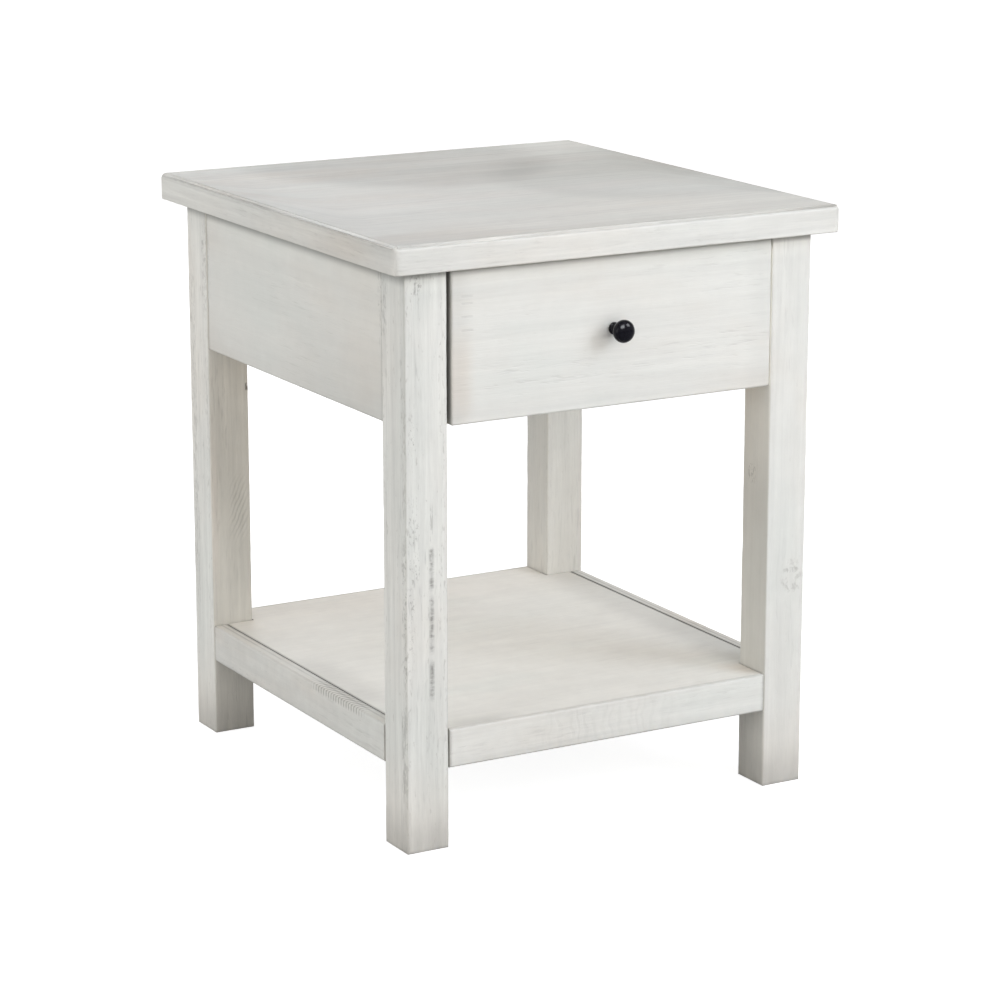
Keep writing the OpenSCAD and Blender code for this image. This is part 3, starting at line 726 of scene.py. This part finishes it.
def leg_look(paint, streaks, flecks, inward, inner_shade, inner_light=0.15):
    """Brushed leg with pores by its edges, painted shade under the top and over its lower part, a ragged
    dirty rim at the foot, and painted shade on its inner faces.

    The inward faces get a darker, warmer painted shade, with painted light a little above and below the
    middle of the leg.
    """
    paint.streaks(streaks)
    paint.flecks(flecks, 12 * MM)
    paint.worn_arris(0.8 * flecks)
    # Painted shade under the top on every face, with painted light just below it on the front and rear.
    for face in (FRONT, REAR):
        paint.shade_under_top(4.5 * MM, 10 * MM, 0.50, 0.14, face)
    for face in (LEFT, RIGHT):
        paint.shade_under_top(5 * MM, 17 * MM, 0.48, 0.0, face)
    # Painted shade over the lowest 55 mm of the leg, then a ragged dirty rim at the foot.
    paint.dirt_and_painted_shade(Z, 0, 0, 55 * MM, 0.24)
    paint.dirt_and_painted_shade(Z, 0, 0, 5 * MM, 0.16, 0.6)
    paint.stain(paint.near(Z, 0, 10 * MM, 110 * MM), PAINT_WARM, 0.55)
    # Painted shade on the inward faces, darker and warmer, and painted light on them above and below the
    # middle of the leg.
    height = paint.parts(paint.place)[Z]
    high, low = paint.ramp(height, 290 * MM, 400 * MM), paint.ramp(height, 125 * MM, 90 * MM)
    lit_band = paint.math("MAXIMUM", high, low)
    for side, strength in zip(inward, inner_shade):
        face = paint.facing(side)
        paint.stain(face, PAINT_INNER_SHADE, strength)
        paint.darken(face, 0.04)
        paint.darken(paint.overlap(face, lit_band), -inner_light)


def leg_dashes(paint, face, rows):
    """Clusters of saw dashes on a leg's front or left face.

    Each row gives, in mm, the place across the face from its front left arris, the height, the half width,
    the half height, and a dash's pitch and width, and then the strength, turn and crowd.
    """
    x, y = paint.lo.x, paint.lo.y
    for *sizes, strength, turned, crowd in rows:
        across, height, half_width, half_height, pitch, width = (size * MM for size in sizes)
        if face == FRONT:
            middle, half = (x + across, y, height), (half_width, DASH_DEPTH, half_height)
        else:
            middle, half = (x, y + across, height), (DASH_DEPTH, half_width, half_height)
        paint.dashes(middle, half, pitch, width, strength, turned, crowd)


def front_left_look(paint):
    """Most worn leg: columns of saw dashes on its front, and dark pores down its outer arris."""
    leg_look(paint, 1.15, 0.4, (RIGHT, REAR), (0.7, 0.7))
    # Painted shade: the front face a little darker.
    paint.darken(paint.facing(FRONT), 0.015)
    # Painted shade on the inner face beside the drawer's left gap.
    beside = paint.ramp(paint.parts(paint.place)[Z], DRAWER_BOTTOM, DRAWER_BOTTOM + 8 * MM)
    paint.darken(paint.overlap(paint.facing(RIGHT), beside), 0.5)
    column = 28.5
    for z_low, z_high in ((264, 312), (200, 266), (152, 198)):
        middle = (paint.lo.x + column * MM, paint.lo.y, (z_low + z_high) / 2 * MM)
        paint.ticks(middle, (4.2 * MM, DASH_DEPTH, (z_high - z_low) / 2 * MM), 0.5)
    leg_dashes(paint, FRONT, (
        (column, 330, 2, 25, 14, 2.2, 0.3, 0.0, 0.45),
        (6.5, 275, 4, 100, 5, 2.4, 0.32, 0.1, 0.54),
        (13, 310, 3, 45, 5, 2.6, 0.32, 0.0, 0.55),
        (9, 425, 6, 22, 5, 2.4, 0.4, 0.1, 0.56),
        (14, 568, 9, 12, 5, 2.4, 0.4, 0.0, 0.50),
    ))
    leg_dashes(paint, LEFT, (
        (4, 240, 5, 95, 7, 2.6, 0.35, 0.0, 0.50),
        (5, 105, 7, 62, 18, 5, 0.25, 0.0, 0.45),
        (40, 542, 6, 32, 9, 2.6, 0.25, 0.1, 0.50),
    ))


def front_right_look(paint):
    """Smoothest leg, marked only by a soft knot with a few ticks over it and a scar on the inner side;
    painted light on its inner faces and beside the drawer's gap.
    """
    paint.tone = 0.970
    leg_look(paint, 0.5, 0.08, (LEFT, REAR), (0.6, 0.7), 0.30)
    paint.darken(paint.near(Z, 0, 150 * MM, 420 * MM), 0.012)
    # Painted light on the face beside the drawer's right gap.
    paint_light_by_drawer_gap(paint, LEFT)
    leg_dashes(paint, FRONT, ((31, 230, 9, 3.5, 6, 1.8, 0.22, 0.0, 0.46),))
    leg_dashes(paint, LEFT, ((30, 330, 8, 12, 5, 3, 0.35, 0.2, 0.50),))


def rear_left_look(paint):
    """Inner faces with the darkest painted shade, the outer face painted lighter, slanting saw lines half
    way up, and grey pores down its outer arris.
    """
    leg_look(paint, 1.1, 0.35, (FRONT, RIGHT), (0.9, 0.8), 0.19)
    # Painted light on the outer left face.
    paint.darken(paint.facing(LEFT), -0.04)
    x, y = paint.lo.x, paint.lo.y
    sawn_middle, sawn_half = (x + 33 * MM, y, 250 * MM), (15 * MM, 2 * MM, 48 * MM)
    sawn = paint.ripples(sawn_middle, sawn_half, (-0.9, 0, 0.44), 4.5 * MM, 8, 0.8)
    paint.darken(sawn, 0.17)
    paint.sink(sawn, 1.0)
    paint.dashes((x + 45 * MM, y, 383 * MM), (2.5 * MM, 2 * MM, 5 * MM), 8 * MM, 3 * MM, 0.8, 0.0, 0.38)
    leg_dashes(paint, LEFT, (
        (38, 330, 9, 230, 14, 3.2, 0.22, 0.0, 0.50),
        (6, 515, 6, 60, 9, 2.4, 0.3, 0.05, 0.50),
    ))
    by_arris = paint.inside((x + 3 * MM, y, 250 * MM), (9 * MM, 2 * MM, 120 * MM), 0.8)
    paint.stain(by_arris, PAINT_WARM, 0.8)


def rear_right_look(paint):
    leg_look(paint, 0.7, 0.2, (FRONT, LEFT), (0.5, 0.35))


def paint_light_by_drawer_gap(paint, side):
    """Painted light on the two faces beside the narrow gap at the drawer's right."""
    beside = paint.ramp(paint.parts(paint.place)[Z], DRAWER_BOTTOM, DRAWER_BOTTOM + 8 * MM)
    paint.darken(paint.overlap(paint.facing(side), beside), -0.18)


def add_aprons():
    for node, grain, seed in (("apron_left", Y, 61), ("apron_right", Y, 67), ("apron_rear", X, 73)):
        painted_board(node, grain, seed, 1 * MM, 1 * MM, 1 * MM, 2.6 * MM, apron_look)


def apron_look(paint):
    """Smooth apron with painted shade under the top and painted light below it, dirt where it meets the
    legs, and a scuffed lower middle.
    """
    paint.streaks(0.3, 0.07)
    paint.flecks(0.06, 5 * MM)
    paint.worn_arris(0.2)
    # Painted shade under the top, and painted light below it.
    for face in (LEFT, RIGHT, REAR):
        paint.shade_under_top(5 * MM, 17 * MM, 0.58, 0.09, face)
    paint.dirt_and_painted_shade(Z, paint.lo.z, 0, 45 * MM, 0.08, 0.3)
    for end in (paint.lo, paint.hi):
        paint.dirt_and_painted_shade(paint.grain, end[paint.grain], 0, 5.5 * MM, 0.14, 0.5)
    middle, half = (paint.lo + paint.hi) / 2, (paint.hi - paint.lo) / 2
    middle.z = paint.lo.z + 38 * MM
    scuff = paint.inside(middle, (half.x * 0.75 + 3 * MM, half.y * 0.75 + 3 * MM, 42 * MM), 0.8)
    scratch = paint.pattern(30, 170, 12, 3.0, 0.6, 0.8)
    paint.darken(paint.overlap(scuff, paint.ramp(scratch, 0.48, 0.68)), 0.06)
    if paint.grain == Y:
        low_front = paint.near(Y, paint.lo.y, 100 * MM, 260 * MM)
        low_front = paint.overlap(low_front, paint.near(Z, paint.lo.z, 40 * MM, 100 * MM))
        paint.darken(low_front, 0.075)
        outer = paint.lo.x if paint.lo.x < 0 else paint.hi.x
        half = (DASH_DEPTH, 6 * MM, 45 * MM)
        for y, z, strength in ((paint.lo.y + 3 * MM, 540 * MM, 0.3), (paint.hi.y - 3 * MM, 520 * MM, 0.2)):
            paint.dashes((outer, y, z), half, 7 * MM, 2.2 * MM, strength, 0.05, 0.53)


def add_drawer_front():
    painted_board("drawer_front", X, 83, 2 * MM, 2 * MM, 3.5 * MM, 2 * MM, drawer_look, "drawer")


def drawer_look(paint):
    """Brushed drawer front, with painted shade along its upper edge, on its top face and in the gap at its
    left end, painted light below the upper edge, on its lower edge and in the gap at its right, and rows of
    saw ticks by its left end.
    """
    paint.streaks(0.42, 0.06)
    paint.flecks(0.06, 4 * MM)
    paint.worn_arris(0.15)
    # Painted shade under the top along the upper edge, and painted light below it.
    paint.dirt_and_painted_shade(Z, paint.hi.z, 1 * MM, 7.5 * MM, 0.43, 0.15, FRONT)
    paint.darken(paint.near(Z, paint.hi.z, 10 * MM, 24 * MM), -0.13)
    # Painted shade at the left end, by the gap; then darker towards both ends.
    paint.dirt_and_painted_shade(X, paint.lo.x, 0, 4.5 * MM, 0.10, 0.1)
    paint.darken(paint.near(X, paint.lo.x, 6 * MM, 28 * MM), 0.085)
    paint.darken(paint.near(X, paint.hi.x, 8 * MM, 40 * MM), 0.045)
    paint.dirt_and_painted_shade(Z, paint.lo.z, 10 * MM, 50 * MM, 0.05, 0.3)
    # Painted light on the lower edge.
    paint.darken(paint.near(Z, paint.lo.z, 1 * MM, 7 * MM), -0.06)
    # Painted shade on the top face, under the top.
    paint.darken(paint.facing(UP), 0.12)
    # Painted shade deep in the gap on the left end face.
    deep = paint.math("SUBTRACT", 1.0, paint.near(Y, paint.lo.y, 1 * MM, 6 * MM))
    paint.darken(paint.overlap(paint.facing(LEFT), deep), 0.42)
    # Painted light on the right end face, in the narrow gap.
    paint_light_by_drawer_gap(paint, RIGHT)
    edge = (paint.lo.x + 8 * MM, paint.lo.y, paint.lo.z + 45 * MM)
    paint.stain(paint.inside(edge, (22 * MM, 3 * MM, 62 * MM), 0.8), PAINT_WARM, 0.9)
    for height in (552, 545, 532, 519):
        middle = (paint.lo.x + 17 * MM, paint.lo.y, height * MM)
        row = paint.inside(middle, (8 * MM, DASH_DEPTH, 1.5 * MM))
        paint.darken(row, 0.075)
        paint.sink(row, 0.6)


def add_knob():
    """Knob turned as one smooth outline: a foot, a hollow neck and a flattened ball."""
    lo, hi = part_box("knob")
    axis_x, axis_z = (lo.x + hi.x) / 2, (lo.z + hi.z) / 2
    length, head_r = hi.y - lo.y, (hi.x - lo.x) / 2
    foot_r, waist_r, foot_t, head_half = 6.2 * MM, 4.2 * MM, 2.4 * MM, 8.5 * MM
    foot_round, hollow = 0.9 * MM, 1.4 * MM
    head_mid = length - head_half
    angle = np.linspace(0, math.pi / 2, 9)
    rounding = foot_round * (1 - np.sin(angle)), foot_round * (1 - np.cos(angle))
    foot = np.column_stack([foot_t - rounding[0], foot_r - rounding[1]])
    s = np.linspace(foot_t + 0.1 * MM, head_mid, 26)
    neck = waist_r + (foot_r - foot_round - waist_r) * np.exp(-(s - foot_t) / hollow)
    ball = head_r * np.sqrt(np.clip(1 - ((s - head_mid) / head_half) ** 2, 0, 1))
    blend = 0.8 * MM
    stem = np.column_stack([s, blend * np.logaddexp(neck / blend, ball / blend)])
    stem[:, 1] = np.minimum(stem[:, 1], head_r)
    angle = np.linspace(0, math.pi / 2, 25)[1:-1]
    cap = np.column_stack([head_mid + head_half * np.sin(angle), head_r * np.cos(angle)])
    outline = np.vstack([[(0, foot_r)], foot, stem, cap])
    turns = 96
    around = np.linspace(0, 2 * math.pi, turns, endpoint=False)
    rings = []
    for out, r in outline:
        y = np.full(turns, hi.y - out)
        rings.append(np.column_stack([axis_x + r * np.cos(around), y, axis_z + r * np.sin(around)]))
    points = np.vstack(rings + [[(axis_x, hi.y, axis_z), (axis_x, lo.y, axis_z)]])
    ring = np.arange(turns)
    following = (ring + 1) % turns
    faces = []
    for i in range(len(outline) - 1):
        a, b = i * turns, (i + 1) * turns
        faces += np.stack([a + ring, a + following, b + following, b + ring], axis=1).tolist()
    back, tip, last = len(points) - 2, len(points) - 1, (len(outline) - 1) * turns
    faces += [(back, n, r) for r, n in zip(ring.tolist(), following.tolist())]
    faces += [(tip, last + r, last + n) for r, n in zip(ring.tolist(), following.tolist())]
    piece = add_mesh("knob_turned", points, faces, satin_black(), "drawer")
    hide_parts("knob")


def shelf_look(paint):
    """Shelf panel, painted paler than the rest as painted light, with painted shade on its side edges and
    in the grooves, painted shadows by the legs and the front rail, and a warmer rear.
    """
    # Painted light: the whole panel paler than the rest.
    paint.tone = 1.125
    paint.streaks(0.4, 0.13, 0.0)
    paint.flecks(0.08, 5 * MM)
    paint.worn_arris(0.2)
    # Painted shade on the side edges and in the grooves beside them.
    for side, edge in ((LEFT, paint.lo.x), (RIGHT, paint.hi.x)):
        paint.darken(paint.facing(side), 0.6)
        paint.dirt_and_painted_shade(X, edge, 0, 4 * MM, 0.30, 0.2)
    _, y, _ = paint.parts(paint.place)
    # Painted shadow by the front right leg, more towards the front.
    towards_front = paint.ramp(y, 60 * MM, -80 * MM, 0.5, 1.0)
    right_shadow = paint.near(X, paint.hi.x, 15 * MM, 60 * MM)
    paint.darken(paint.overlap(right_shadow, towards_front), 0.23)
    # Painted shadow behind the front left leg.
    left_shadow = paint.near(X, paint.lo.x, 10 * MM, 50 * MM)
    paint.darken(paint.overlap(left_shadow, paint.near(Y, -50 * MM, 50 * MM, 110 * MM)), 0.14)
    # Painted shadow by the left end of the front rail.
    rail_shadow = (paint.lo.x + 70 * MM, paint.lo.y, SHELF_TOP)
    paint.darken(paint.inside(rail_shadow, (60 * MM, 28 * MM, 5 * MM), 0.9), 0.16)
    far = paint.near(Y, paint.hi.y, 20 * MM, 150 * MM)
    paint.darken(far, 0.015)
    paint.stain(far, PAINT_WARM, 0.5)
    # Warm painted shade in the corner by the front right leg.
    corner = (paint.hi.x - 30 * MM, paint.lo.y + 25 * MM, SHELF_TOP)
    paint.stain(paint.inside(corner, (40 * MM, 30 * MM, 5 * MM), 0.9), PAINT_WARM, 0.9)


REBATE = 13.5 * MM


def side_rail_look(paint):
    """Side shelf rail with painted shade on its groove wall, along its rebate and on its outer face, a
    second dark line beside the rebate, and saw ticks near its front end.
    """
    paint.streaks(0.6, 0.20, 0.9)
    paint.flecks(0.2, 5 * MM)
    paint.worn_arris(0.35)
    paint.dirt_and_painted_shade(Z, paint.lo.z, 0, 7 * MM, 0.10, 0.5)
    on_left = paint.lo.x < 0
    inner, outer = (paint.hi.x, paint.lo.x) if on_left else (paint.lo.x, paint.hi.x)
    out = math.copysign(1, outer - inner)
    rebate = outer - out * REBATE
    # Painted shade on the wall of the groove, and on the outer face.
    paint.darken(paint.facing((-out, 0, 0)), 0.6)
    paint.darken(paint.facing((out, 0, 0)), 0.055)
    paint.darken(paint.facing(UP), 0.05)
    # Painted shade along the rebate groove, and a second dark line further out.
    ragged = paint.noise(paint.stretch(paint.place, (20, 12, 20), paint.seed), 3.0, 0.6)
    for off, start, end, depth in ((0.0, 0.5, 3.2, 0.27), (5.6, 0.3, 1.9, 0.22)):
        line = paint.overlap(paint.near(X, rebate + out * off * MM, start * MM, end * MM), paint.facing(UP))
        paint.darken(paint.overlap(line, paint.ramp(ragged, 0.30, 0.55, 0.3, 1.0)), depth)
    length = paint.hi.y - paint.lo.y
    middle = (rebate + out * 7 * MM, paint.lo.y + 0.26 * length, SHELF_TOP)
    ticks = paint.ripples(middle, (10 * MM, 0.17 * length, 9 * MM), (0, 1, 0), 5.6 * MM, 2)
    paint.stain(ticks, WORN, 0.8 if on_left else 0.2)
    paint.sink(ticks, 1.5)


def cross_rail_look(paint):
    """Front or rear shelf rail with planer chatter across it and a darker lower edge."""
    paint.streaks(0.6, 0.12, 0.5)
    paint.flecks(0.15, 5 * MM)
    paint.worn_arris(0.35)
    paint.dirt_and_painted_shade(Z, paint.lo.z, 0, 14 * MM, 0.10, 0.5)
    paint.darken(paint.facing(UP), 0.10)
    for end in (paint.lo.x, paint.hi.x):
        paint.dirt_and_painted_shade(X, end, 0, 5 * MM, 0.12, 0.5)
    middle, reach = (paint.lo + paint.hi) / 2, 0.3 * (paint.hi.x - paint.lo.x)
    chatter = paint.ripples(middle, (reach, 20 * MM, 26 * MM), (1, 0, 0), 10 * MM, 14, 0.7)
    paint.darken(chatter, 0.035)
    paint.sink(chatter, 1.0)


PAINTED_NODES = {
    "shelf_panel": (X, shelf_look),
    "shelf_rail_front": (X, cross_rail_look),
    "shelf_rail_rear": (X, cross_rail_look),
    "shelf_rail_left": (Y, side_rail_look),
    "shelf_rail_right": (Y, side_rail_look),
}
BARE_NODES = {
    X: (
        "front_top_rail", "front_bottom_rail", "top_cleat_rear", "corner_block_left", "corner_block_right",
    ),
    Y: ("top_cleat_left", "top_cleat_right", "slide_spacer_left", "slide_spacer_right"),
}
DRAWER_NODES = {X: ("drawer_box_front", "drawer_back"), Y: ("drawer_side_left", "drawer_side_right")}
DOWEL_NODES = ("apron_dowels", "rail_dowels", "shelf_dowels")
SCREW_NODES = (
    "top_screws", "cleat_screws", "spacer_screws", "corner_bolts", "corner_nuts", "shelf_screws",
    "slide_frame_screws", "slide_drawer_screws", "drawer_front_screws", "drawer_box_screws", "knob_screw",
)
SLIDE_NODES = ("slide_outer_left", "slide_outer_right", "slide_inner_left", "slide_inner_right")


def finish_node(node, material):
    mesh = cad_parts[node].data
    mesh.materials.clear()
    mesh.materials.append(material)


def finish_cad_nodes():
    for number, (node, (grain, look)) in enumerate(PAINTED_NODES.items()):
        finish_node(node, painted(node, grain, 91 + 13 * number, look))
    pine_light, pine_dark = (0.70, 0.53, 0.33, 1), (0.50, 0.31, 0.15, 1)
    for grain, names in BARE_NODES.items():
        for number, node in enumerate(names):
            finish_node(node, bare_wood(node + "_pine", pine_light, pine_dark, grain, 131 + 5 * number))
    for grain, names in DRAWER_NODES.items():
        for number, node in enumerate(names):
            finish_node(node, bare_wood(node + "_pine", pine_light, pine_dark, grain, 161 + 5 * number))
    finish_node("drawer_bottom", plywood("drawer_bottom_plywood", 181))
    beech = bare_wood("dowel_beech", (0.64, 0.47, 0.31, 1), (0.5, 0.33, 0.2, 1), Y, 187, 12)
    for node in DOWEL_NODES:
        finish_node(node, beech)
    screws = metal("zinc_plate", (0.62, 0.62, 0.58, 1), (0.48, 0.47, 0.42, 1), 0.28, 0.03 * MM, 191)
    for node in SCREW_NODES:
        finish_node(node, screws)
    rolled = metal("rolled_zinc", (0.60, 0.61, 0.62, 1), (0.46, 0.47, 0.48, 1), 0.30, 0.03 * MM, 195)
    for node in SLIDE_NODES:
        finish_node(node, rolled)
    cage = metal("cage_steel", (0.50, 0.50, 0.50, 1), (0.30, 0.29, 0.27, 1), 0.34, 0.03 * MM, 199)
    balls = metal("ball_steel", (0.66, 0.66, 0.67, 1), (0.58, 0.58, 0.59, 1), 0.08, 0.002 * MM, 203)
    for side in ("left", "right"):
        finish_node("ball_cage_" + side, cage)
        finish_node("slide_balls_" + side, balls)
    finish_node("slide_bumpers", rubber())


add_camera()
add_studio()
add_floor()
add_top()
add_legs()
add_aprons()
add_drawer_front()
add_knob()
finish_cad_nodes()
